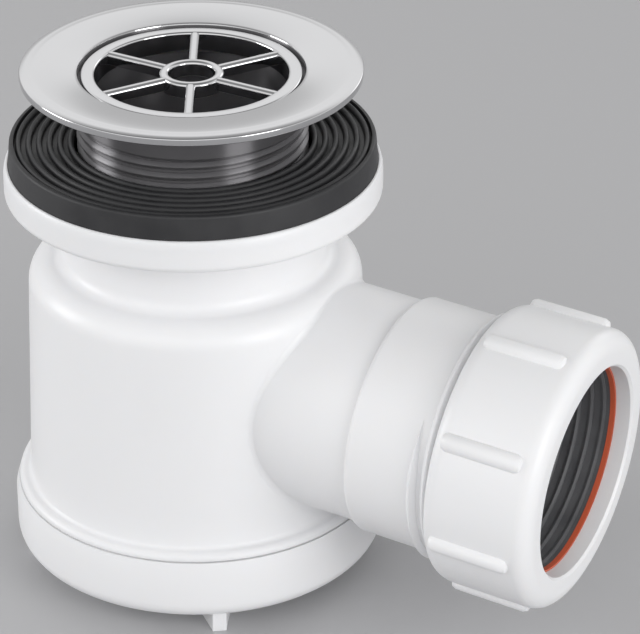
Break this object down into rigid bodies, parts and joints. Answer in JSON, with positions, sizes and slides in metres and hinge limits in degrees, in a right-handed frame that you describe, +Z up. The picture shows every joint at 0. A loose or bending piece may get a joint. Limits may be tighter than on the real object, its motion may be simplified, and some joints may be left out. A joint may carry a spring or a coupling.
{
  "type": "shower trap",
  "caption": "White bottle-type shower trap with a chrome waste flange and lift-out grid above a ribbed rubber washer, and a compression nut for the waste pipe on its side outlet.",
  "frame": {"origin": "on the axis of the body, on the plane of the undersides of the crossed ribs under the base", "axes": "+Z up along the axis of the body, +X the way the outlet points (seen from above), +Y to its left"},
  "size_m": [0.1316, 0.0792, 0.1136],
  "materials": {
    "white_plastic": "white moulded polypropylene with a soft gloss",
    "chrome": "polished chrome plate",
    "black_rubber": "black moulded rubber",
    "grey_rubber": "dark grey moulded rubber",
    "orange_plastic": "orange-red plastic, smooth"
  },
  "bodies": {
    "trap": {"trap_body": "white_plastic", "base_cap": "white_plastic", "tray_washer": "black_rubber", "dip_tube": "white_plastic", "dip_tube_seal": "black_rubber", "pipe_seal": "grey_rubber"},
    "grid": {"grid": "chrome"},
    "flange": {"waste_flange": "chrome"},
    "slip_ring": {"slip_ring": "orange_plastic"},
    "nut": {"compression_nut": "white_plastic"}
  },
  "joints": [
    {"name": "flange_rise", "type": "slide", "parent": "trap", "child": "grid", "axis": [0, 0, 1], "range_m": [-0.01386, 0.0052]},
    {"name": "flange_turn", "type": "hinge", "parent": "grid", "child": "flange", "pos_m": [0, 0, 0.1], "axis": [0, 0, 1], "range_deg": [-2160, 810]},
    {"name": "nut_travel", "type": "slide", "parent": "trap", "child": "slip_ring", "axis": [0.9986, 0, -0.0523], "range_m": [0, 0.01426]},
    {"name": "nut_turn", "type": "hinge", "parent": "slip_ring", "child": "nut", "pos_m": [0.07989, 0, 0.04331], "axis": [0.9986, 0, -0.0523], "range_deg": [0, 1710]}
  ],
  "couplings": [
    {"joint": "flange_rise", "follows": "flange_turn", "m_per_rad": 0.00036749},
    {"joint": "nut_travel", "follows": "nut_turn", "m_per_rad": 0.00047746}
  ]
}
